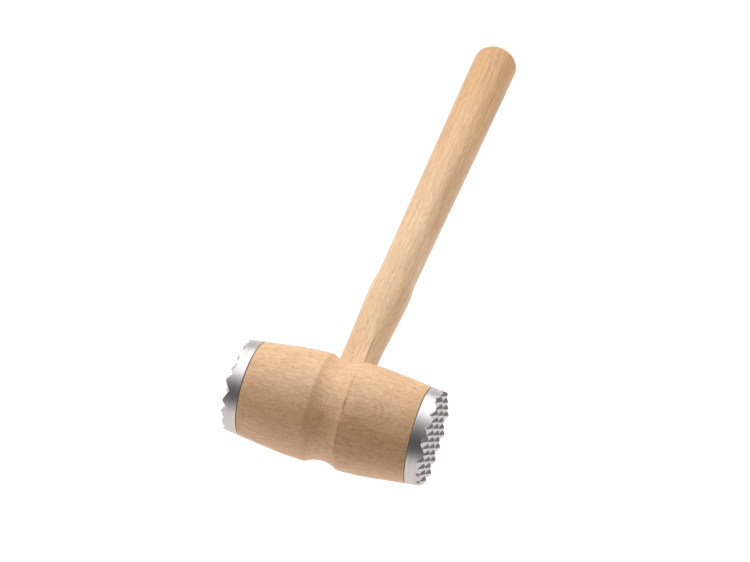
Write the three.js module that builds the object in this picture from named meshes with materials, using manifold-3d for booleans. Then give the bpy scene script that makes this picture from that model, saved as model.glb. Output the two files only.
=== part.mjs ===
// Meat mallet: a turned beech head with an aluminium tenderising cap on each end, and a turned beech
// handle let into the shallow cove round the middle of the head. Millimetres, +Z up.
//
// The pieces are drawn in the mallet's own axes: X along the head, Y along the handle, both axes
// crossing at the origin. At the end the mallet is laid on its side, resting on the two ridges of
// the head and on the butt of the handle.

import * as THREE from "three";
import { mergeVertices } from "three/addons/utils/BufferGeometryUtils.js";
import Module from "manifold-3d";

// Head: two ridges with a cove between them, rounding over into a straight taper to each end
const RIDGE_RADIUS = 28;
const RIDGE_X = 8.6;
const COVE_DEPTH = 2.45;
const BELLY_START_X = 10.2;
const BELLY_END_X = 26;
const TAPER = 0.118;
const WOOD_END_X = 44.1;

// Striking caps: a tapered disc with square rows of teeth, and a spigot let into the wood behind it
const JOINT_GAP = 0.3;
const FACE_X = 53;
const TOOTH_PITCH = 7.5;
const TOOTH_FLAT = 1;
const SPIGOT_RADIUS = 9;
const SPIGOT_LENGTH = 8;
const TAPPED_DEPTH = 10.6;
const RIGHT_GRID = { turn: 13.2, across: 1.5, along: -1.2 };
const LEFT_GRID = { turn: 1.7, across: 3.25, along: 0.8 };

// Studs: a machine thread in the cap and a pointed wood thread in the head
const STUD_RADIUS = 4;
const WOOD_THREAD_RADIUS = 3.5;
const STUD_TIP_X = 14.5;
const STUD_POINT = 5;

// Handle: distances along it are measured from the axis of the head
const TENON_END = -14;
const NECK_RADIUS = 9.7;
const NECK_END = 36;
const SHOULDER_RADIUS = 11.4;
const SHOULDER_AT = 86;
const WAIST_RADIUS = 10.7;
const WAIST_AT = 99;
const BUTT_RADIUS = 13.6;
const BUTT_AT = 290;
const DOME_HEIGHT = 8.5;
const HANDLE_END = 300;

// The grip leaves the waist level over its lead-in, and swells evenly over its lead-out to the butt
const GRIP_LEAD_IN = 14;
const GRIP_LEAD_OUT = 60;
const GRIP_LAST_SWELL = 0.7;

// The two flat cheeks of the neck, above and below: level in the head, then running out on an arc
const CHEEK_HALF = 8.25;
const CHEEK_START = 20;
const CHEEK_END = 70;
const CHEEK_SWEEP = 370;

// Facets round the turned pieces, and divisions along each of their curves
const HEAD_FACETS = 60;
const HANDLE_FACETS = 36;
const STUD_FACETS = 20;
const CURVE_STEPS = 4;

// Tools that cut past a surface reach this far beyond it; the V cutter keeps its slope that far
const OVERCUT = 12;
const GROOVE_OVERCUT = 1;

const BEECH = { color: 0xdcb488, roughness: 0.62, metalness: 0 };
const BEECH_HANDLE = { color: 0xe0ba8c, roughness: 0.58, metalness: 0 };
const ALUMINIUM = { color: 0xb9bbbd, roughness: 0.36, metalness: 1 };
const STEEL = { color: 0x8d9195, roughness: 0.42, metalness: 1 };

const wasm = await Module();
wasm.setup();

// A closed three.js geometry as a solid that can be joined and cut.
function solid(geometry) {
  const bare = geometry.clone();
  bare.deleteAttribute("normal");
  bare.deleteAttribute("uv");
  const merged = mergeVertices(bare, 1e-4);
  const index = merged.index.array;
  const triangles = [];
  for (let i = 0; i < index.length; i += 3) {
    const [a, b, c] = index.slice(i, i + 3);
    if (a !== b && b !== c && c !== a) {
      triangles.push(a, b, c);
    }
  }
  return new wasm.Manifold(new wasm.Mesh({
    numProp: 3,
    vertProperties: new Float32Array(merged.attributes.position.array),
    triVerts: new Uint32Array(triangles),
  }));
}

// The surface of a solid as a named mesh of the given material.
function piece(name, body, finish) {
  const mesh = body.getMesh();
  const geometry = new THREE.BufferGeometry();
  geometry.setAttribute("position", new THREE.BufferAttribute(mesh.vertProperties, 3));
  geometry.setIndex(new THREE.BufferAttribute(mesh.triVerts, 1));
  geometry.computeVertexNormals();
  const part = new THREE.Mesh(geometry, new THREE.MeshStandardMaterial(finish));
  part.name = name;
  return part;
}

// An outline of (radius, height) turned about the Y axis.
function turned(outline, facets) {
  return new THREE.LatheGeometry(outline.getPoints(CURVE_STEPS), facets);
}

// The same, turned about the X axis instead.
function turnedAboutHead(outline, facets) {
  return turned(outline, facets).rotateZ(-Math.PI / 2);
}

// Radius of the straight taper at a distance from the middle of the head.
function taperRadius(x) {
  const bend = Math.atan(TAPER);
  const bellyRadius = (BELLY_END_X - BELLY_START_X) / Math.sin(bend);
  return RIDGE_RADIUS - bellyRadius * (1 - Math.cos(bend)) - TAPER * (x - BELLY_END_X);
}

// A round bar along the head's axis between two distances from the middle.
function bar(radius, from, to, facets) {
  const outline = new THREE.Path();
  outline.moveTo(0, from);
  outline.lineTo(radius, from);
  outline.lineTo(radius, to);
  outline.lineTo(0, to);
  return solid(turnedAboutHead(outline, facets));
}

function headOutline() {
  const bend = Math.atan(TAPER);
  const bellyRadius = (BELLY_END_X - BELLY_START_X) / Math.sin(bend);
  const bellyCentre = RIDGE_RADIUS - bellyRadius;
  const coveRadius = (RIDGE_X ** 2 + COVE_DEPTH ** 2) / (2 * COVE_DEPTH);
  const coveCentre = RIDGE_RADIUS - COVE_DEPTH + coveRadius;
  const coveSpan = Math.asin(RIDGE_X / coveRadius);
  const outline = new THREE.Path();
  outline.moveTo(0, -WOOD_END_X);
  outline.lineTo(taperRadius(WOOD_END_X), -WOOD_END_X);
  outline.absarc(bellyCentre, -BELLY_START_X, bellyRadius, -bend, 0, false);
  outline.absarc(coveCentre, 0, coveRadius, Math.PI + coveSpan, Math.PI - coveSpan, true);
  outline.absarc(bellyCentre, BELLY_START_X, bellyRadius, 0, bend, false);
  outline.lineTo(taperRadius(WOOD_END_X), WOOD_END_X);
  outline.lineTo(0, WOOD_END_X);
  return outline;
}

function handleOutline() {
  const neckEase = (SHOULDER_AT - NECK_END) / 3;
  const shoulderEase = (WAIST_AT - SHOULDER_AT) / 2;
  const outline = new THREE.Path();
  outline.moveTo(0, TENON_END);
  outline.lineTo(NECK_RADIUS, TENON_END);
  outline.lineTo(NECK_RADIUS, NECK_END);
  outline.bezierCurveTo(NECK_RADIUS, NECK_END + neckEase, SHOULDER_RADIUS, SHOULDER_AT - neckEase,
    SHOULDER_RADIUS, SHOULDER_AT);
  outline.bezierCurveTo(SHOULDER_RADIUS, SHOULDER_AT + shoulderEase,
    WAIST_RADIUS, WAIST_AT - shoulderEase, WAIST_RADIUS, WAIST_AT);
  outline.bezierCurveTo(WAIST_RADIUS, WAIST_AT + GRIP_LEAD_IN,
    BUTT_RADIUS - GRIP_LAST_SWELL, BUTT_AT - GRIP_LEAD_OUT, BUTT_RADIUS, BUTT_AT);
  outline.absellipse(0, HANDLE_END - DOME_HEIGHT, BUTT_RADIUS, DOME_HEIGHT, 0, Math.PI / 2, false, 0);
  return outline;
}

// The slab of wood beyond one cheek of the neck; allowance moves the cheek outwards.
function cheekWaste(side, allowance) {
  const inner = CHEEK_HALF + allowance;
  const outer = SHOULDER_RADIUS + OVERCUT;
  const runOut = -Math.PI / 2 + Math.asin((CHEEK_END - CHEEK_START) / CHEEK_SWEEP);
  const outline = new THREE.Shape();
  outline.moveTo(TENON_END - OVERCUT, inner);
  outline.absarc(CHEEK_START, inner + CHEEK_SWEEP, CHEEK_SWEEP, -Math.PI / 2, runOut, false);
  outline.lineTo(CHEEK_END, outer);
  outline.lineTo(TENON_END - OVERCUT, outer);
  outline.closePath();
  const width = 2 * outer;
  const slab = new THREE.ExtrudeGeometry(outline, {
    depth: width,
    curveSegments: CURVE_STEPS,
    bevelEnabled: false,
  });
  slab.translate(0, 0, -width / 2);
  slab.applyMatrix4(new THREE.Matrix4().makeBasis(
    new THREE.Vector3(0, 1, 0),
    new THREE.Vector3(0, 0, 1),
    new THREE.Vector3(1, 0, 0),
  ));
  if (side < 0) {
    slab.rotateY(Math.PI);
  }
  return solid(slab);
}

// The socket in the head that the neck is glued into, a little larger than the neck all round.
function mortise() {
  const outline = new THREE.Path();
  outline.moveTo(0, TENON_END - JOINT_GAP);
  outline.lineTo(NECK_RADIUS + JOINT_GAP, TENON_END - JOINT_GAP);
  outline.lineTo(NECK_RADIUS + JOINT_GAP, RIDGE_RADIUS + OVERCUT);
  outline.lineTo(0, RIDGE_RADIUS + OVERCUT);
  return solid(turned(outline, HANDLE_FACETS))
    .subtract(cheekWaste(1, JOINT_GAP))
    .subtract(cheekWaste(-1, JOINT_GAP));
}

// The counterbore for a cap's spigot and the pilot hole for its stud, in the right-hand end.
function endBores() {
  const seat = WOOD_END_X - SPIGOT_LENGTH;
  const counterbore = bar(SPIGOT_RADIUS + JOINT_GAP, seat, WOOD_END_X + OVERCUT, STUD_FACETS);
  const pilot = bar(WOOD_THREAD_RADIUS + JOINT_GAP, STUD_TIP_X - JOINT_GAP, WOOD_END_X, STUD_FACETS);
  return counterbore.add(pilot);
}

function headBarrel() {
  return solid(turnedAboutHead(headOutline(), HEAD_FACETS))
    .subtract(mortise())
    .subtract(endBores())
    .subtract(endBores().rotate([0, 0, 180]));
}

function handle() {
  return solid(turned(handleOutline(), HANDLE_FACETS))
    .subtract(cheekWaste(1, 0))
    .subtract(cheekWaste(-1, 0));
}

// One V groove across a cap's face, running along Z at a distance from the axis.
function groove(offset) {
  const halfWidth = (TOOTH_PITCH - TOOTH_FLAT) / 2;
  const vee = new THREE.Shape();
  vee.moveTo(0, -halfWidth);
  vee.lineTo(halfWidth + GROOVE_OVERCUT, GROOVE_OVERCUT);
  vee.lineTo(-halfWidth - GROOVE_OVERCUT, GROOVE_OVERCUT);
  vee.closePath();
  const length = 2 * RIDGE_RADIUS;
  const prism = new THREE.ExtrudeGeometry(vee, { depth: length, bevelEnabled: false });
  prism.translate(offset, 0, -length / 2);
  prism.applyMatrix4(new THREE.Matrix4().makeBasis(
    new THREE.Vector3(0, 1, 0),
    new THREE.Vector3(1, 0, 0),
    new THREE.Vector3(0, 0, -1),
  ));
  prism.translate(FACE_X, 0, 0);
  return solid(prism);
}

// All the grooves that mill one cap's teeth: two sets at right angles, turned together.
function grooves(grid) {
  const reach = Math.ceil(RIDGE_RADIUS / TOOTH_PITCH);
  let across = groove(grid.across);
  let along = groove(grid.along);
  for (let row = 1; row <= reach; row += 1) {
    for (const side of [-1, 1]) {
      across = across.add(groove(grid.across + side * row * TOOTH_PITCH));
      along = along.add(groove(grid.along + side * row * TOOTH_PITCH));
    }
  }
  return across.add(along.rotate([90, 0, 0])).rotate([grid.turn, 0, 0]);
}

// A cap for the right-hand end: the disc, its spigot and tapped hole, and the milled teeth.
function strikingCap(grid) {
  const seat = WOOD_END_X + JOINT_GAP;
  const spigotEnd = seat - SPIGOT_LENGTH;
  const outline = new THREE.Path();
  outline.moveTo(0, spigotEnd);
  outline.lineTo(SPIGOT_RADIUS, spigotEnd);
  outline.lineTo(SPIGOT_RADIUS, seat);
  outline.lineTo(taperRadius(seat), seat);
  outline.lineTo(taperRadius(FACE_X), FACE_X);
  outline.lineTo(0, FACE_X);
  const hole = bar(STUD_RADIUS + JOINT_GAP, spigotEnd - OVERCUT, spigotEnd + TAPPED_DEPTH, STUD_FACETS);
  return solid(turnedAboutHead(outline, HEAD_FACETS)).subtract(hole).subtract(grooves(grid));
}

function stud() {
  const seat = WOOD_END_X - SPIGOT_LENGTH;
  const outline = new THREE.Path();
  outline.moveTo(0, STUD_TIP_X);
  outline.lineTo(WOOD_THREAD_RADIUS, STUD_TIP_X + STUD_POINT);
  outline.lineTo(WOOD_THREAD_RADIUS, seat);
  outline.lineTo(STUD_RADIUS, seat + 2 * JOINT_GAP);
  outline.lineTo(STUD_RADIUS, seat + TAPPED_DEPTH);
  outline.lineTo(0, seat + TAPPED_DEPTH);
  return solid(turnedAboutHead(outline, STUD_FACETS));
}

const mallet = new THREE.Group();
mallet.add(piece("head_barrel", headBarrel(), BEECH));
mallet.add(piece("handle", handle(), BEECH_HANDLE));
mallet.add(piece("cap_right", strikingCap(RIGHT_GRID), ALUMINIUM));
mallet.add(piece("stud_right", stud(), STEEL));

const leftEnd = new THREE.Group();
leftEnd.add(piece("cap_left", strikingCap(LEFT_GRID), ALUMINIUM));
leftEnd.add(piece("stud_left", stud(), STEEL));
leftEnd.rotation.z = Math.PI;
mallet.add(leftEnd);

// Lay the mallet down: the handle dips until the start of its dome touches the surface the ridges
// rest on, and the origin is the middle of the footprint.
mallet.rotation.x = -Math.asin((RIDGE_RADIUS - BUTT_RADIUS) / (HANDLE_END - DOME_HEIGHT));
const extent = new THREE.Box3().setFromObject(mallet, true);
const middle = extent.getCenter(new THREE.Vector3());
mallet.position.set(-middle.x, -middle.y, -extent.min.z);

const part = new THREE.Group();
part.add(mallet);

export default part;
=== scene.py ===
"""Meat mallet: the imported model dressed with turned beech, milled aluminium and threaded steel.

Every piece is built in the mallet's own axes, in millimetres: X along the head, Y along the
handle, the two crossing at the origin. place() turns it into metres and lays it down where the
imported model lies.
"""
import math

import bmesh
import bpy
from mathutils import Matrix, Vector

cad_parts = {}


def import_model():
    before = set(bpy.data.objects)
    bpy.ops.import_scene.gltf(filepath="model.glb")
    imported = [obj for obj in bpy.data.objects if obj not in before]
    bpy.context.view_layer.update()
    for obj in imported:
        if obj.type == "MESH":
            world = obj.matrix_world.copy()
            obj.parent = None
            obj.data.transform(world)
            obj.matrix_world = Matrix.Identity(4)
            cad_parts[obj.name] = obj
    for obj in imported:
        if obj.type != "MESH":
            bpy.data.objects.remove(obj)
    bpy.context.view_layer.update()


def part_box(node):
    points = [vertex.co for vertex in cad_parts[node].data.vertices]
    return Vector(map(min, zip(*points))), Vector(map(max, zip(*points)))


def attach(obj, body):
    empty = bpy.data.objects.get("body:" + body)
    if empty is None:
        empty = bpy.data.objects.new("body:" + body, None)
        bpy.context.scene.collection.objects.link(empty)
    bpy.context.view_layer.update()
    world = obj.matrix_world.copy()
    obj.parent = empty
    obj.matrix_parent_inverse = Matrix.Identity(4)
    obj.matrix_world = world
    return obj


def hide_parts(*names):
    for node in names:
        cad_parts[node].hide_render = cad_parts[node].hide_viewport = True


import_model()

# Head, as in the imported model
RIDGE_RADIUS = 28.0
RIDGE_X = 8.6
COVE_DEPTH = 2.45
BELLY_START_X = 10.2
BELLY_END_X = 26.0
TAPER = 0.118
WOOD_END_X = 44.1
RIDGE_ROUNDING = 0.3
EDGE_ROUNDING = 0.35

# Striking caps
JOINT_GAP = 0.3
FACE_X = 53.0
SEAT_ROUNDING = 0.22
TOOTH_PITCH = 7.5
TOOTH_FLAT = 1.0
TOOTH_DEPTH = (TOOTH_PITCH - TOOTH_FLAT) / 2
TOOTH_ROUNDING = 0.16
SPIGOT_RADIUS = 9.0
SPIGOT_LENGTH = 8.0
SPIGOT_ROUNDING = 0.5
TAPPED_DEPTH = 10.6
CAP_GRIDS = {
    "cap_right": {"turn": 13.2, "across": 1.5, "along": -1.2},
    "cap_left": {"turn": 1.7, "across": 3.25, "along": 0.8},
}

# Studs
STUD_RADIUS = 4.0
MACHINE_PITCH = 1.25
MACHINE_THREAD_DEPTH = 0.65
MACHINE_END_BEVEL = 0.8
WOOD_THREAD_RADIUS = 3.5
WOOD_PITCH = 2.8
WOOD_THREAD_DEPTH = 0.9
THREAD_STEEPNESS = 1.15
SHANK_BEFORE_SEAT = 1.5
SHANK_PAST_SEAT = 0.6
SHANK_RADIUS = WOOD_THREAD_RADIUS - 0.1
STUD_TIP_X = 14.5
STUD_POINT = 5.0
STUD_POINT_LEAD = 0.4

# Handle
TENON_END = -14.0
TENON_ROUNDING = 0.8
NECK_RADIUS = 9.7
NECK_END = 36.0
SHOULDER_RADIUS = 11.4
SHOULDER_AT = 86.0
WAIST_RADIUS = 10.7
WAIST_AT = 99.0
BUTT_RADIUS = 13.6
BUTT_AT = 290.0
GRIP_LEAD_IN = 14.0
GRIP_LEAD_OUT = 60.0
GRIP_LAST_SWELL = 0.7
DOME_HEIGHT = 8.5
DOME_TIP_RADIUS = 0.15
HANDLE_END = 300.0
CHEEK_HALF = 8.25
CHEEK_START = 20.0
CHEEK_SWEEP = 370.0
CHEEK_ROUNDING = 0.12

# How finely the pieces are turned: segments round the axis, lengths along it and steps in a curve
HEAD_SEGMENTS, HANDLE_SEGMENTS, MORTISE_SEGMENTS, BAR_SEGMENTS = 288, 320, 192, 96
HEAD_STEP, HANDLE_STEP, MORTISE_STEP = 0.4, 0.8, 2.0
SPIGOT_STEP, CAP_STEP, STUD_STEP = 1.0, 0.25, 0.16
EDGE_STEPS, DOME_STEPS = 6, 48
SWELL_STEPS, SHOULDER_STEPS, GRIP_STEPS = 60, 24, 120

# The milled block: cells in one tooth pitch, and pitches from its middle to its edge
TOOTH_CELLS, TOOTH_REACH = 30, 4

# An edge stays sharp where its faces turn by more than this, in degrees
SHARP_WOOD, SHARP_CAP, SHARP_STUD = 35.0, 50.0, 60.0

# How far a cutter reaches past the wood or metal that it cuts, and one bore into the next
CUTTER_PAST, MORTISE_PAST, FACE_PAST, BORE_OVERLAP = 5, 8, 1, 1

MM = 0.001
HALF_TURN = Matrix.Rotation(math.pi, 4, "Z")

# How the mallet lies: the head's axis runs through the middle of the head's box
HEAD_LOW, HEAD_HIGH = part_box("head_barrel")
DIP = math.asin((RIDGE_RADIUS - BUTT_RADIUS) / (HANDLE_END - DOME_HEIGHT))
LAID = Matrix.Translation((HEAD_LOW + HEAD_HIGH) / 2) @ Matrix.Rotation(-DIP, 4, "X")


# -------------------------------------------------------------------------------------------
# Small helpers
# -------------------------------------------------------------------------------------------

def soft_min(a, b, k):
    """The smaller of two values, with the corner between them rounded over a width k."""
    h = max(k - abs(a - b), 0.0) / k
    return min(a, b) - h * h * k / 4


def bezier(p0, p1, p2, p3, steps):
    """Points along a cubic curve, without its first point."""
    points = []
    for i in range(1, steps + 1):
        t = i / steps
        s = 1 - t
        weights = (s ** 3, 3 * s * s * t, 3 * s * t * t, t ** 3)
        points.append(tuple(
            sum(w * p[axis] for w, p in zip(weights, (p0, p1, p2, p3))) for axis in (0, 1)
        ))
    return points


def stations(start, end, step):
    """Evenly spaced places from start to end, no further apart than step."""
    count = max(1, math.ceil((end - start) / step))
    return [start + (end - start) * i / count for i in range(count + 1)]


def lathe(name, outline, segments, point):
    """A closed mesh turned from (place along the axis, radius) pairs.

    point(along, radius, angle) gives each vertex. The two ends close on the axis.
    """
    vertices = [point(outline[0][0], 0.0, 0.0)]
    for along, radius in outline:
        for i in range(segments):
            vertices.append(point(along, radius, math.tau * i / segments))
    vertices.append(point(outline[-1][0], 0.0, 0.0))
    faces = []
    last = len(vertices) - 1
    for i in range(segments):
        j = (i + 1) % segments
        faces.append((0, 1 + j, 1 + i))
        for row in range(len(outline) - 1):
            a = 1 + row * segments
            b = a + segments
            faces.append((a + i, a + j, b + j, b + i))
        top = 1 + (len(outline) - 1) * segments
        faces.append((last, top + i, top + j))
    mesh = bpy.data.meshes.new(name)
    mesh.from_pydata(vertices, [], faces)
    mesh.validate()
    outward(mesh)
    return mesh


def outward(mesh):
    """Turns every face of a closed mesh outwards."""
    work = bmesh.new()
    work.from_mesh(mesh)
    bmesh.ops.recalc_face_normals(work, faces=work.faces)
    if work.calc_volume(signed=True) < 0:
        bmesh.ops.reverse_faces(work, faces=work.faces)
    work.to_mesh(mesh)
    work.free()


def about_head(along, radius, angle):
    return (along, radius * math.cos(angle), radius * math.sin(angle))


def about_handle(along, radius, angle):
    return (radius * math.sin(angle), along, radius * math.cos(angle))


def boolean(mesh, cutter, operation):
    """mesh cut by, or kept only inside, the cutter mesh."""
    body = bpy.data.objects.new("body", mesh)
    tool = bpy.data.objects.new("tool", cutter)
    for item in (body, tool):
        bpy.context.scene.collection.objects.link(item)
    modifier = body.modifiers.new("cut", "BOOLEAN")
    modifier.operation = operation
    modifier.solver = "MANIFOLD"
    modifier.object = tool
    graph = bpy.context.evaluated_depsgraph_get()
    result = bpy.data.meshes.new_from_object(body.evaluated_get(graph))
    for item in (body, tool):
        bpy.data.objects.remove(item)
    return result


def place(name, mesh, material, node, sharp_angle):
    """Makes the finished piece from a mesh in millimetres, laid where its CAD node lies."""
    mesh.transform(LAID @ Matrix.Scale(MM, 4))
    mesh.name = name
    mesh.materials.clear()
    mesh.materials.append(material)
    mesh.shade_smooth()
    mesh.set_sharp_from_angle(angle=math.radians(sharp_angle))
    piece = bpy.data.objects.new(name, mesh)
    bpy.context.scene.collection.objects.link(piece)
    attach(piece, "root")
    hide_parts(node)


# -------------------------------------------------------------------------------------------
# Head
# -------------------------------------------------------------------------------------------

BEND = math.atan(TAPER)
BELLY_RADIUS = (BELLY_END_X - BELLY_START_X) / math.sin(BEND)
COVE_RADIUS = (RIDGE_X ** 2 + COVE_DEPTH ** 2) / (2 * COVE_DEPTH)

# Further from the middle than this, the cove's circle is far outside the wood
COVE_REACH = COVE_RADIUS * 0.9


def belly(x):
    """Radius of the head without its cove."""
    x = abs(x)
    if x < BELLY_START_X:
        return RIDGE_RADIUS
    if x < BELLY_END_X:
        fall = x - BELLY_START_X
        return RIDGE_RADIUS - BELLY_RADIUS + math.sqrt(BELLY_RADIUS ** 2 - fall ** 2)
    bend_end = RIDGE_RADIUS - BELLY_RADIUS * (1 - math.cos(BEND))
    return bend_end - TAPER * (x - BELLY_END_X)


def head_radius(x):
    """Radius of the head: the cove sinks between the two rounded ridges."""
    if abs(x) > COVE_REACH:
        return belly(x)
    centre = RIDGE_RADIUS - COVE_DEPTH + COVE_RADIUS
    cove = centre - math.sqrt(COVE_RADIUS ** 2 - x ** 2)
    return soft_min(cove, belly(x), RIDGE_ROUNDING)


def rounded_edge(x, radius, rounding, towards):
    """A quarter round from the end face at x to the side; towards is +1 or -1 along the axis."""
    points = []
    for i in range(EDGE_STEPS + 1):
        angle = math.pi / 2 * i / EDGE_STEPS
        points.append((
            x + towards * rounding * (1 - math.cos(angle)),
            radius - rounding * (1 - math.sin(angle)),
        ))
    return points


def head_outline():
    end = belly(WOOD_END_X)
    outline = rounded_edge(-WOOD_END_X, end, EDGE_ROUNDING, 1)
    middle = stations(-WOOD_END_X + EDGE_ROUNDING, WOOD_END_X - EDGE_ROUNDING, HEAD_STEP)
    outline += [(x, head_radius(x)) for x in middle[1:-1]]
    outline += list(reversed(rounded_edge(WOOD_END_X, end, EDGE_ROUNDING, -1)))
    return outline


def bar(radius, start, end):
    return lathe("bar", [(start, radius), (end, radius)], BAR_SEGMENTS, about_head)


def mortise():
    """The socket for the handle, a joint gap larger than the neck all round."""
    def point(along, radius, angle):
        x, y, z = about_handle(along, radius, angle)
        limit = cheek_height(along) + JOINT_GAP
        return (x, y, max(-limit, min(limit, z)))
    radius = NECK_RADIUS + JOINT_GAP
    places = stations(TENON_END - JOINT_GAP, RIDGE_RADIUS + MORTISE_PAST, MORTISE_STEP)
    return lathe("mortise", [(s, radius) for s in places], MORTISE_SEGMENTS, point)


def head():
    mesh = lathe("head", head_outline(), HEAD_SEGMENTS, about_head)
    seat = WOOD_END_X - SPIGOT_LENGTH
    cutters = [mortise()]
    for side in (-1, 1):
        for radius, start, end in (
            (SPIGOT_RADIUS + JOINT_GAP, seat, WOOD_END_X + CUTTER_PAST),
            (WOOD_THREAD_RADIUS + JOINT_GAP, STUD_TIP_X - JOINT_GAP, seat + BORE_OVERLAP),
        ):
            cutter = bar(radius, start, end)
            if side < 0:
                cutter.transform(HALF_TURN)
            cutters.append(cutter)
    for cutter in cutters:
        mesh = boolean(mesh, cutter, "DIFFERENCE")
    return mesh


# -------------------------------------------------------------------------------------------
# Handle
# -------------------------------------------------------------------------------------------

def handle_outline():
    ease_neck = (SHOULDER_AT - NECK_END) / 3
    ease_shoulder = (WAIST_AT - SHOULDER_AT) / 2
    neck_end = (NECK_END, NECK_RADIUS)
    shoulder = (SHOULDER_AT, SHOULDER_RADIUS)
    waist = (WAIST_AT, WAIST_RADIUS)
    butt = (BUTT_AT, BUTT_RADIUS)
    neck = stations(TENON_END + TENON_ROUNDING, NECK_END, HANDLE_STEP)

    outline = rounded_edge(TENON_END, NECK_RADIUS, TENON_ROUNDING, 1)
    outline += [(s, NECK_RADIUS) for s in neck[1:]]
    outline += bezier(neck_end, (NECK_END + ease_neck, NECK_RADIUS),
                      (SHOULDER_AT - ease_neck, SHOULDER_RADIUS), shoulder, SWELL_STEPS)
    outline += bezier(shoulder, (SHOULDER_AT + ease_shoulder, SHOULDER_RADIUS),
                      (WAIST_AT - ease_shoulder, WAIST_RADIUS), waist, SHOULDER_STEPS)
    outline += bezier(waist, (WAIST_AT + GRIP_LEAD_IN, WAIST_RADIUS),
                      (BUTT_AT - GRIP_LEAD_OUT, BUTT_RADIUS - GRIP_LAST_SWELL), butt, GRIP_STEPS)
    for i in range(DOME_STEPS):
        angle = math.pi / 2 * i / DOME_STEPS
        outline.append((
            HANDLE_END - DOME_HEIGHT * (1 - math.sin(angle)),
            BUTT_RADIUS * math.cos(angle),
        ))
    outline.append((HANDLE_END, DOME_TIP_RADIUS))
    return outline


def cheek_height(along):
    """Half the neck's thickness between its two flat cheeks."""
    past = max(0.0, along - CHEEK_START)
    return CHEEK_HALF + CHEEK_SWEEP - math.sqrt(CHEEK_SWEEP ** 2 - past ** 2)


def handle():
    def point(along, radius, angle):
        x, y, z = about_handle(along, radius, angle)
        flat = soft_min(abs(z), cheek_height(along), CHEEK_ROUNDING)
        return (x, y, math.copysign(flat, z))
    return lathe("handle", handle_outline(), HANDLE_SEGMENTS, point)


# -------------------------------------------------------------------------------------------
# Striking caps
# -------------------------------------------------------------------------------------------

def tooth_wave(offset):
    """Height above the groove's bottom at a signed distance from the nearest groove's middle."""
    valley = math.sqrt(offset ** 2 + TOOTH_ROUNDING ** 2) - TOOTH_ROUNDING / 2
    return soft_min(valley, TOOTH_DEPTH, TOOTH_ROUNDING)


def tooth_field(grid):
    """A block whose top is the milled face: square rows of pyramids, unbounded by the rim."""
    step = TOOTH_PITCH / TOOTH_CELLS
    count = 2 * TOOTH_REACH * TOOTH_CELLS
    turn = math.radians(grid["turn"])
    offsets = [(i - TOOTH_REACH * TOOTH_CELLS) * step for i in range(count + 1)]
    nearest = [offset - TOOTH_PITCH * round(offset / TOOTH_PITCH) for offset in offsets]
    waves = [tooth_wave(offset) for offset in nearest]
    vertices = []
    for i, u in enumerate(offsets):
        for j, v in enumerate(offsets):
            height = soft_min(waves[i], waves[j], TOOTH_ROUNDING)
            across, along = u + grid["across"], v + grid["along"]
            vertices.append((
                FACE_X - TOOTH_DEPTH + height,
                across * math.cos(turn) - along * math.sin(turn),
                across * math.sin(turn) + along * math.cos(turn),
            ))
    row = count + 1
    faces = []
    for i in range(count):
        for j in range(count):
            a = i * row + j
            b = a + row
            c = b + 1
            d = a + 1
            same_side = (nearest[i] + nearest[i + 1]) * (nearest[j] + nearest[j + 1]) > 0
            faces += [(a, b, c), (a, c, d)] if same_side else [(a, b, d), (b, c, d)]
    edge = [i * row for i in range(row)]
    edge += [count * row + j for j in range(1, row)]
    edge += [i * row + count for i in range(count - 1, -1, -1)]
    edge += [j for j in range(count - 1, 0, -1)]
    base = len(vertices)
    for index in edge:
        _, y, z = vertices[index]
        vertices.append((0.0, y, z))
    for k in range(len(edge)):
        following = (k + 1) % len(edge)
        faces.append((edge[k], base + k, base + following, edge[following]))
    faces.append(tuple(range(base, base + len(edge))))
    mesh = bpy.data.meshes.new("tooth_field")
    mesh.from_pydata(vertices, [], faces)
    outward(mesh)
    return mesh


def cap(grid):
    """The turned disc and its spigot, tapped from behind and milled across its face."""
    seat = WOOD_END_X + JOINT_GAP
    spigot_end = seat - SPIGOT_LENGTH
    spigot = stations(spigot_end + SPIGOT_ROUNDING, seat, SPIGOT_STEP)
    side = stations(seat + SEAT_ROUNDING, FACE_X + FACE_PAST, CAP_STEP)
    outline = rounded_edge(spigot_end, SPIGOT_RADIUS, SPIGOT_ROUNDING, 1)
    outline += [(x, SPIGOT_RADIUS) for x in spigot[1:]]
    outline += rounded_edge(seat, belly(seat), SEAT_ROUNDING, 1)
    outline += [(x, belly(x)) for x in side[1:]]
    mesh = lathe("cap", outline, HEAD_SEGMENTS, about_head)
    bore = bar(STUD_RADIUS + JOINT_GAP, spigot_end - CUTTER_PAST, spigot_end + TAPPED_DEPTH)
    mesh = boolean(mesh, bore, "DIFFERENCE")
    return boolean(mesh, tooth_field(grid), "INTERSECT")


# -------------------------------------------------------------------------------------------
# Studs
# -------------------------------------------------------------------------------------------

def thread_depth(x, angle, pitch, depth):
    """How far a helical V thread sinks below its crest."""
    phase = (x / pitch + angle / math.tau) % 1.0
    return depth * min(1.0, THREAD_STEEPNESS * abs(2 * phase - 1))


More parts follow.
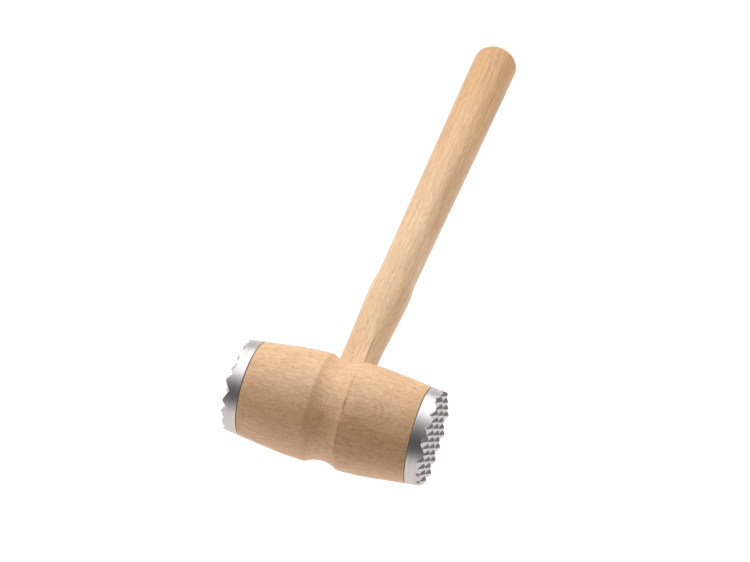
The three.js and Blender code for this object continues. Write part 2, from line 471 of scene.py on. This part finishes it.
def stud():
    shank = WOOD_END_X - SPIGOT_LENGTH
    end = shank + TAPPED_DEPTH
    outline = [(x, 1.0) for x in stations(STUD_TIP_X, end, STUD_STEP)]

    def point(along, unit, angle):
        if along < shank - SHANK_BEFORE_SEAT:
            pointed = (along - STUD_TIP_X + STUD_POINT_LEAD) / STUD_POINT
            crest = WOOD_THREAD_RADIUS * min(1.0, pointed)
            sunk = thread_depth(along, angle, WOOD_PITCH, WOOD_THREAD_DEPTH)
            radius = crest - sunk * crest / WOOD_THREAD_RADIUS
        elif along < shank + SHANK_PAST_SEAT:
            radius = SHANK_RADIUS
        else:
            crest = STUD_RADIUS - max(0.0, along - end + MACHINE_END_BEVEL)
            radius = crest - thread_depth(along, angle, MACHINE_PITCH, MACHINE_THREAD_DEPTH)
        return about_head(along, radius * unit, angle)
    return lathe("stud", outline, BAR_SEGMENTS, point)


# -------------------------------------------------------------------------------------------
# Materials
# -------------------------------------------------------------------------------------------

class Nodes:
    """Short names for the shader nodes a material is wired from."""

    def __init__(self, name):
        self.material = bpy.data.materials.new(name)
        self.material.use_nodes = True
        self.tree = self.material.node_tree
        self.tree.nodes.clear()
        output = self.tree.nodes.new("ShaderNodeOutputMaterial")
        self.shader = self.tree.nodes.new("ShaderNodeBsdfPrincipled")
        self.tree.links.new(self.shader.outputs["BSDF"], output.inputs["Surface"])

    def node(self, kind, settings=None, **inputs):
        node = self.tree.nodes.new(kind)
        for key, value in (settings or {}).items():
            setattr(node, key, value)
        for key, value in inputs.items():
            self.feed(node.inputs[key.replace("_", " ")], value)
        return node

    def feed(self, socket, value):
        if isinstance(value, bpy.types.NodeSocket):
            self.tree.links.new(value, socket)
        else:
            socket.default_value = value

    def dress(self, **inputs):
        """Feeds the surface shader's own inputs."""
        for key, value in inputs.items():
            self.feed(self.shader.inputs[key.replace("_", " ")], value)

    def math(self, operation, a, b=0.0):
        node = self.node("ShaderNodeMath", {"operation": operation})
        self.feed(node.inputs[0], a)
        self.feed(node.inputs[1], b)
        return node.outputs[0]

    def weighted(self, *terms):
        """The sum of value times weight over the terms, started from the first."""
        total = None
        for value, weight in terms:
            part = self.math("MULTIPLY", value, weight)
            total = part if total is None else self.math("ADD", total, part)
        return total

    def vector_math(self, operation, a, b):
        node = self.node("ShaderNodeVectorMath", {"operation": operation})
        self.feed(node.inputs[0], a)
        self.feed(node.inputs[1], b)
        return node.outputs[0]

    def scaled(self, vector, scale):
        return self.vector_math("MULTIPLY", vector, scale)

    def moved(self, vector, offset):
        return self.vector_math("ADD", vector, offset)

    def length(self, vector):
        node = self.node("ShaderNodeVectorMath", {"operation": "LENGTH"})
        self.feed(node.inputs[0], vector)
        return node.outputs["Value"]

    def position(self):
        """Place on the piece, in millimetres along the mallet's own axes."""
        coordinates = self.node("ShaderNodeTexCoord").outputs["Object"]
        from_head = self.moved(coordinates, -LAID.translation)
        return self.scaled(self.unlaid(from_head), (1 / MM, 1 / MM, 1 / MM))

    def unlaid(self, vector):
        """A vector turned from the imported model's axes back to the mallet's own."""
        node = self.node("ShaderNodeVectorRotate", {"rotation_type": "X_AXIS"},
                         Vector=vector, Angle=DIP)
        return node.outputs["Vector"]

    def noise(self, vector, detail=2.0, roughness=0.5, output="Fac"):
        node = self.node("ShaderNodeTexNoise", Vector=vector, Scale=1.0, Detail=detail,
                         Roughness=roughness)
        return node.outputs[output]

    def between(self, value, low, high, to_low=0.0, to_high=1.0, smooth=True):
        """value carried from low..high to to_low..to_high, held at both ends."""
        kind = "SMOOTHSTEP" if smooth else "LINEAR"
        node = self.node("ShaderNodeMapRange", {"interpolation_type": kind, "clamp": True})
        for key, number in (("Value", value), ("From Min", low), ("From Max", high),
                            ("To Min", to_low), ("To Max", to_high)):
            self.feed(node.inputs[key], number)
        return node.outputs["Result"]

    def mix(self, factor, a, b, blend="MIX"):
        node = self.node("ShaderNodeMix", {"data_type": "RGBA", "blend_type": blend})
        self.feed(node.inputs[0], factor)
        self.feed(node.inputs[6], a)
        self.feed(node.inputs[7], b)
        return node.outputs[2]

    def stained(self, colour, stain, factor, weight):
        """A colour darkened by a stain where the factor shows, as far as the weight allows."""
        return self.mix(self.math("MULTIPLY", factor, weight), colour, stain, "MULTIPLY")

    def bump(self, height, distance, strength):
        node = self.node("ShaderNodeBump", Height=height, Distance=distance, Strength=strength)
        return node.outputs["Normal"]


# What darker wood does to the light colour under it, what a ray fleck does, and what a dark mark
# does: real specks and painted shade along ridges and creases share this colour
BROWNING = (0.66, 0.44, 0.27, 1)
FLECK = (0.5, 0.37, 0.25, 1)
DARK_SPECK_AND_PAINTED_SHADE = (0.32, 0.19, 0.11, 1)

# The wood's patterns: cycles per millimetre along the grain and across it
SWAY_GRAIN = (0.1, 0.2)
WAVE_GRAIN = (0.035, 0.07)
DRIFT_GRAIN = (0.014, 0.05)
STREAK_GRAIN = (0.07, 0.9)
MOTTLE_GRAIN = (0.5, 1.2)
PATCH_GRAIN = (0.03, 0.07)
PORE_GRAIN = (0.9, 7.0)

# The values of the noise between which each pattern comes in
DRIFT_SHOWS = (0.35, 0.65)
STREAK_SHOWS = (0.35, 0.7)
MOTTLE_SHOWS = (0.4, 0.65)
PATCH_SHOWS = (0.35, 0.62)
PORE_SHOWS = (0.58, 0.76)

# Along one ring, from 0 to 1: where it turns dark and where it is light again
RING_DARKENS = (0.3, 0.92)
RING_LIGHTENS = (1.0, 0.92)
RINGS_IN_FIGURE, RINGS_ELSEWHERE = 0.85, 0.15

# How strongly each pattern tints the wood
STREAK_TONE, MOTTLE_TONE, RING_TONE, PORE_TONE = 0.38, 0.25, 0.4, 0.5
FLECK_LEAST = 0.45
SHORT_FLECK_TONE = 0.75

# Ray flecks: length and width in millimetres, and how many of them show
LONG_FLECKS = (4.6, 0.8, 0.6)
SHORT_FLECKS = (1.8, 0.5, 0.75)
SPINDLE_EDGE, SPINDLE_CORE = 0.42, 0.14

# A patch fades from its edge to its core, as shares of its size
PATCH_EDGE, PATCH_CORE = 1.0, 0.3

# The wood's gloss and relief; the relief's depth is in metres
WOOD_ROUGHNESS, STREAK_ROUGHNESS, PORE_ROUGHNESS = 0.42, 0.16, 0.12
WOOD_SPECULAR = 0.6
WOOD_SHEEN, WOOD_SHEEN_ROUGHNESS = 0.6, 0.2
WOOD_RELIEF, WOOD_RELIEF_STRENGTH = 0.00004, 0.5
STREAK_HEIGHT, PORE_HEIGHT, FLECK_HEIGHT = 0.5, -0.9, -0.3


def along_grain(axis, stretch, fine):
    """Scales that stretch a pattern along the grain: stretch along it, fine across it."""
    return tuple(stretch if i == axis else fine for i in range(3))


def dashes(n, place_mm, axis, length, width, share):
    """Short spindles along the grain, each of its own strength; share is how many show."""
    cells = n.node("ShaderNodeTexVoronoi", {"feature": "F1", "voronoi_dimensions": "3D"},
                   Vector=n.scaled(place_mm, along_grain(axis, 1 / length, 1 / width)),
                   Scale=1.0, Randomness=1.0)
    own = n.node("ShaderNodeSeparateColor", Color=cells.outputs["Color"])
    spindle = n.between(cells.outputs["Distance"], SPINDLE_EDGE, SPINDLE_CORE)
    strength = n.between(own.outputs["Red"], 1 - share, 1.0, smooth=False)
    return n.math("MULTIPLY", spindle, strength)


def patch(n, centre, size):
    """1 around a centre in millimetres, fading to 0 at its size along each axis."""
    offset = n.moved(n.position(), tuple(-c for c in centre))
    distance = n.length(n.scaled(offset, tuple(1 / s for s in size)))
    return n.between(distance, PATCH_EDGE, PATCH_CORE)


def beech(name, axis, light, tan, pith, lean, figure, ring, warp, seed, marks, run, sway, flecked,
          painted_shade_along=None):
    """Bare sanded beech: faint growth rings, short ray flecks and fine pores along one axis.

    The rings are ring millimetres apart round a pith beside the piece that leans off the axis,
    and warp pushes them about. They show clearly only within the figure, a patch given by its
    centre and size, and are faint elsewhere. marks are dark spots and lines, given by centre,
    size and strength: real specks, and painted shade along a ridge or a crease. run draws the
    fibres out along the grain and sway is how far they wander, in millimetres. flecked is the
    strength of the ray flecks. worn gives two places along the grain and the painted shade,
    standing for light falling off along the piece, that is reached by the second.
    """
    n = Nodes(name)

    def grained(pattern):
        """Places stretched to a pattern's size along and across the grain."""
        return n.scaled(place_mm, along_grain(axis, *pattern))

    # The fibres sway from side to side as they run
    place_mm = n.scaled(n.moved(n.position(), seed), along_grain(axis, 1 / run, 1.0))
    aside = n.noise(grained(SWAY_GRAIN), detail=1.0, output="Color")
    aside = n.scaled(n.moved(aside, (-0.5, -0.5, -0.5)), along_grain(axis, 0.0, sway))
    place_mm = n.moved(place_mm, aside)

    # Growth rings, seen as ovals where the surface faces away from the pith
    wave = n.noise(grained(WAVE_GRAIN), detail=3.0)
    from_pith = n.length(n.scaled(n.moved(n.position(), pith), along_grain(axis, 0.0, 1.0)))
    radius = n.math("ADD", from_pith, n.math("MULTIPLY", wave, warp))
    axial = n.node("ShaderNodeSeparateXYZ", Vector=n.position()).outputs[axis]
    radius = n.math("ADD", radius, n.math("MULTIPLY", axial, lean))
    phase = n.math("FRACT", n.math("DIVIDE", radius, ring))
    late_wood = n.math("MULTIPLY", n.between(phase, *RING_DARKENS),
                       n.between(phase, *RING_LIGHTENS))
    clear = n.math("MULTIPLY", patch(n, *figure), RINGS_IN_FIGURE)
    late_wood = n.math("MULTIPLY", late_wood, n.math("ADD", clear, RINGS_ELSEWHERE))

    # Broad drift of tone, fine streaks along the grain and a close mottle
    drift = n.noise(grained(DRIFT_GRAIN))
    streak = n.noise(grained(STREAK_GRAIN), detail=4.0, roughness=0.6)
    mottle = n.noise(grained(MOTTLE_GRAIN), roughness=0.6)
    colour = n.mix(n.between(drift, *DRIFT_SHOWS), light, tan)
    colour = n.stained(colour, BROWNING, n.between(streak, *STREAK_SHOWS), STREAK_TONE)
    colour = n.stained(colour, BROWNING, n.between(mottle, *MOTTLE_SHOWS), MOTTLE_TONE)
    colour = n.stained(colour, BROWNING, late_wood, RING_TONE)

    # Ray flecks come in patches, long ones among a finer speckle
    patches = n.between(n.noise(grained(PATCH_GRAIN), detail=1.0), *PATCH_SHOWS, FLECK_LEAST, 1.0)
    short = n.math("MULTIPLY", dashes(n, place_mm, axis, *SHORT_FLECKS), SHORT_FLECK_TONE)
    fleck = n.math("MAXIMUM", dashes(n, place_mm, axis, *LONG_FLECKS), short)
    fleck = n.math("MULTIPLY", fleck, patches)
    colour = n.stained(colour, FLECK, fleck, flecked)

    # Pores: very fine broken lines
    pore = n.between(n.noise(grained(PORE_GRAIN), roughness=0.7), *PORE_SHOWS)
    colour = n.stained(colour, BROWNING, pore, PORE_TONE)
    # Painted shade: darker and more orange along the grain towards the far end, standing for light
    # falling off there
    if painted_shade_along is not None:
        start, end, shade = painted_shade_along
        colour = n.mix(n.between(axial, start, end), colour, shade, "MULTIPLY")
    # Dark marks: real specks, and painted shade along ridges and creases
    for centre, size, strength in marks:
        colour = n.stained(colour, DARK_SPECK_AND_PAINTED_SHADE, patch(n, centre, size), strength)

    rough = n.math("ADD", n.math("MULTIPLY", streak, STREAK_ROUGHNESS), WOOD_ROUGHNESS)
    rough = n.math("ADD", rough, n.math("MULTIPLY", pore, PORE_ROUGHNESS))
    height = n.weighted((streak, STREAK_HEIGHT), (pore, PORE_HEIGHT), (fleck, FLECK_HEIGHT))
    n.dress(Base_Color=colour, Roughness=rough, Specular_IOR_Level=WOOD_SPECULAR,
            Sheen_Weight=WOOD_SHEEN, Sheen_Roughness=WOOD_SHEEN_ROUGHNESS,
            Normal=n.bump(height, WOOD_RELIEF, WOOD_RELIEF_STRENGTH))
    return n.material


# The aluminium's patterns: cycles per millimetre along the head's axis and the two across it
RINGS = (9.0, 0.02, 0.02)
GRAIN = (5.0, 5.0, 5.0)
BROAD_RINGS = (1.6, 0.03, 0.03)
SMUDGES = (0.12, 0.12, 0.12)
RINGS_SHARE, GRAIN_SHARE = 0.75, 0.25
MARKS_SHOW = (0.3, 0.7)
BROAD_SHOWS = (0.4, 0.65)

ALUMINIUM_DARK = (0.51, 0.5, 0.487, 1)
ALUMINIUM_LIGHT = (0.65, 0.638, 0.622, 1)
BROAD_SHADE = (0.88, 0.88, 0.88, 1)
ALUMINIUM_ROUGHNESS, SMUDGE_ROUGHNESS, MARK_ROUGHNESS = 0.33, 0.1, 0.08
ALUMINIUM_RELIEF, ALUMINIUM_RELIEF_STRENGTH = 0.00002, 0.6


def turned_aluminium(name):
    """Satin aluminium with fine tool marks: rings round the side, lines along the milled grooves.

    Both kinds of mark keep a constant depth along the head, so one pattern serves for both.
    """
    n = Nodes(name)
    place_mm = n.position()
    rings = n.noise(n.scaled(place_mm, RINGS), detail=4.0, roughness=0.75)
    grain = n.noise(n.scaled(place_mm, GRAIN), detail=3.0, roughness=0.6)
    marks = n.weighted((rings, RINGS_SHARE), (grain, GRAIN_SHARE))
    broad = n.noise(n.scaled(place_mm, BROAD_RINGS), detail=3.0, roughness=0.7)
    smudge = n.noise(n.scaled(place_mm, SMUDGES), detail=3.0)
    colour = n.mix(n.between(marks, *MARKS_SHOW), ALUMINIUM_DARK, ALUMINIUM_LIGHT)
    colour = n.mix(n.between(broad, *BROAD_SHOWS), colour, BROAD_SHADE, "MULTIPLY")
    rough = n.math("ADD", n.math("MULTIPLY", smudge, SMUDGE_ROUGHNESS), ALUMINIUM_ROUGHNESS)
    rough = n.math("ADD", rough, n.math("MULTIPLY", marks, MARK_ROUGHNESS))
    n.dress(Base_Color=colour, Metallic=1.0, Roughness=rough,
            Normal=n.bump(marks, ALUMINIUM_RELIEF, ALUMINIUM_RELIEF_STRENGTH))
    return n.material


STEEL_MOTTLE = (1.2, 1.2, 1.2)
STEEL_SHOWS = (0.3, 0.7)
STEEL_DARK = (0.42, 0.43, 0.45, 1)
STEEL_LIGHT = (0.6, 0.61, 0.62, 1)
STEEL_SMOOTHEST, STEEL_ROUGHEST = 0.3, 0.48
STEEL_RELIEF, STEEL_RELIEF_STRENGTH = 0.00003, 0.5


def threaded_steel(name):
    """Plain zinc-grey steel, a little mottled."""
    n = Nodes(name)
    mottle = n.noise(n.scaled(n.position(), STEEL_MOTTLE), detail=4.0, roughness=0.6)
    n.dress(Base_Color=n.mix(mottle, STEEL_DARK, STEEL_LIGHT), Metallic=1.0,
            Roughness=n.between(mottle, *STEEL_SHOWS, STEEL_SMOOTHEST, STEEL_ROUGHEST),
            Normal=n.bump(mottle, STEEL_RELIEF, STEEL_RELIEF_STRENGTH))
    return n.material


# -------------------------------------------------------------------------------------------
# The object
# -------------------------------------------------------------------------------------------

# Painted shade along the head's right ridge, where the cove meets the belly: a short dark line,
# then the faint lines above and below
HEAD_PAINTED_SHADE = [
    ((9.1, -12.6, 25.1), (0.8, 5.0, 4.5), 0.6),
    ((8.9, -3.0, 27.4), (0.8, 14.0, 4.0), 0.25),
    ((8.95, -24.0, 12.0), (0.65, 13.0, 16.0), 0.3),
]

# Marks on the handle: two real specks on the neck, and painted shade along the crease at its cheek
HANDLE_SPECKS_AND_PAINTED_SHADE = [
    ((-2.8, 33.0, 8.3), (0.55, 0.7, 1.0), 0.6),
    ((-1.4, 30.2, 8.2), (0.4, 1.0, 1.0), 0.6),
    ((4.85, 38.0, 8.5), (0.9, 17.0, 1.2), 0.4),
]

HEAD_WOOD = beech(
    "head_beech", 0, light=(0.82, 0.55, 0.32, 1), tan=(0.72, 0.458, 0.24, 1),
    pith=(0.0, -18.0, 36.0), lean=0.04, figure=((17.0, -13.0, 24.5), (24.0, 10.0, 9.0)),
    ring=0.3, warp=1.1, seed=(0.0, 0.0, 0.0), marks=HEAD_PAINTED_SHADE, run=1.2, sway=4.0, flecked=0.85,
)
# The handle's wood darkens towards the butt: painted shade for the light falling off there
HANDLE_WOOD = beech(
    "handle_beech", 1, light=(0.92, 0.7, 0.47, 1), tan=(0.81, 0.577, 0.348, 1),
    pith=(22.0, 0.0, 9.0), lean=0.03, figure=((3.0, 270.0, 12.0), (8.0, 32.0, 8.0)),
    ring=2.1, warp=8.0, seed=(41.0, 17.0, 5.0), marks=HANDLE_SPECKS_AND_PAINTED_SHADE, run=2.4, sway=1.6,
    flecked=0.4, painted_shade_along=(60.0, 285.0, (0.8, 0.66, 0.48, 1)),
)
ALUMINIUM = turned_aluminium("turned_aluminium")
STEEL = threaded_steel("threaded_steel")

place("head_barrel_turned", head(), HEAD_WOOD, "head_barrel", SHARP_WOOD)
place("handle_turned", handle(), HANDLE_WOOD, "handle", SHARP_WOOD)
for node, grid in CAP_GRIDS.items():
    mesh = cap(grid)
    if node == "cap_left":
        mesh.transform(HALF_TURN)
    place(node + "_milled", mesh, ALUMINIUM, node, SHARP_CAP)
for node in ("stud_right", "stud_left"):
    mesh = stud()
    if node == "stud_left":
        mesh.transform(HALF_TURN)
    place(node + "_threaded", mesh, STEEL, node, SHARP_STUD)


# -------------------------------------------------------------------------------------------
# Studio
# -------------------------------------------------------------------------------------------

# Angles in degrees, the rest in metres and the lens in millimetres
CAMERA_AZIMUTH, CAMERA_ELEVATION = 18.89, 49.35
CAMERA_DISTANCE = 0.8784
CAMERA_AIM = LAID.translation + Vector((-0.0116, 0.095, -0.008))
CAMERA_NEAREST = 0.05
LENS, SENSOR = 77.3, 36

# Area lights: azimuth, elevation, distance, width, height and power
SOFTBOXES = {
    "key": (205, 56, 1.6, 4.5, 2.2, 60),
    "overhead": (180, 88, 1.6, 2.2, 2.2, 4.6),
    "rear": (180, 35, 1.6, 1.6, 0.9, 3),
    "left": (275, 30, 1.6, 1.2, 0.9, 2),
}
WORLD_STRENGTH = 0.05

# The floor's glow: full within the near distance from the head, down to its last at the far one
GLOW_FULL, GLOW_LAST = 1.1, 0.45
GLOW_NEAR, GLOW_FAR = 0.3, 1.6
GLOW_COLOUR = (0.99, 0.92, 0.92, 1)
FLOOR_COLOUR = (0.12, 0.12, 0.12, 1)
FLOOR_ROUGHNESS = 0.9
FLOOR_HALF = 8.0
FLOOR_DROP = 0.0002


def direction(azimuth, elevation):
    """Unit vector away from the mallet, from angles in degrees. Azimuth 0 is towards -Y."""
    a, e = math.radians(azimuth), math.radians(elevation)
    return Vector((math.sin(a) * math.cos(e), -math.cos(a) * math.cos(e), math.sin(e)))


def stand(name, data, location, back):
    """Links a light or a camera that looks along the opposite of back."""
    item = bpy.data.objects.new(name, data)
    item.location = location
    item.rotation_mode = "QUATERNION"
    item.rotation_quaternion = (-back).to_track_quat("-Z", "Y")
    bpy.context.scene.collection.objects.link(item)
    return item


def floor():
    n = Nodes("floor_white")
    from_head = n.moved(n.node("ShaderNodeTexCoord").outputs["Object"], -LAID.translation)
    glow = n.between(n.length(from_head), GLOW_NEAR, GLOW_FAR, GLOW_FULL, GLOW_LAST)
    n.dress(Base_Color=FLOOR_COLOUR, Roughness=FLOOR_ROUGHNESS, Emission_Color=GLOW_COLOUR,
            Emission_Strength=glow)
    mesh = bpy.data.meshes.new("floor")
    corners = [(x * FLOOR_HALF, y * FLOOR_HALF, 0) for x, y in ((-1, -1), (1, -1), (1, 1), (-1, 1))]
    mesh.from_pydata(corners, [], [(0, 1, 2, 3)])
    mesh.materials.append(n.material)
    plane = bpy.data.objects.new("floor", mesh)
    plane.location.z = -FLOOR_DROP
    bpy.context.scene.collection.objects.link(plane)


def softbox(name, azimuth, elevation, distance, width, height, power):
    """An area light on a sphere round the mallet's head, facing it."""
    data = bpy.data.lights.new(name, "AREA")
    data.shape = "RECTANGLE"
    data.size, data.size_y = width, height
    data.energy = power
    back = direction(azimuth, elevation)
    stand(name, data, back * distance, back)


def world():
    scene_world = bpy.data.worlds.new("studio")
    scene_world.use_nodes = True
    background = scene_world.node_tree.nodes["Background"]
    background.inputs["Color"].default_value = (1, 1, 1, 1)
    background.inputs["Strength"].default_value = WORLD_STRENGTH
    bpy.context.scene.world = scene_world


def camera():
    data = bpy.data.cameras.new("camera")
    data.lens = LENS
    data.sensor_width = SENSOR
    data.clip_start = CAMERA_NEAREST
    back = direction(CAMERA_AZIMUTH, CAMERA_ELEVATION)
    bpy.context.scene.camera = stand("camera", data, CAMERA_AIM + back * CAMERA_DISTANCE, back)


floor()
world()
for name, settings in SOFTBOXES.items():
    softbox(name, *settings)
camera()
bpy.context.scene.view_settings.view_transform = "Standard"
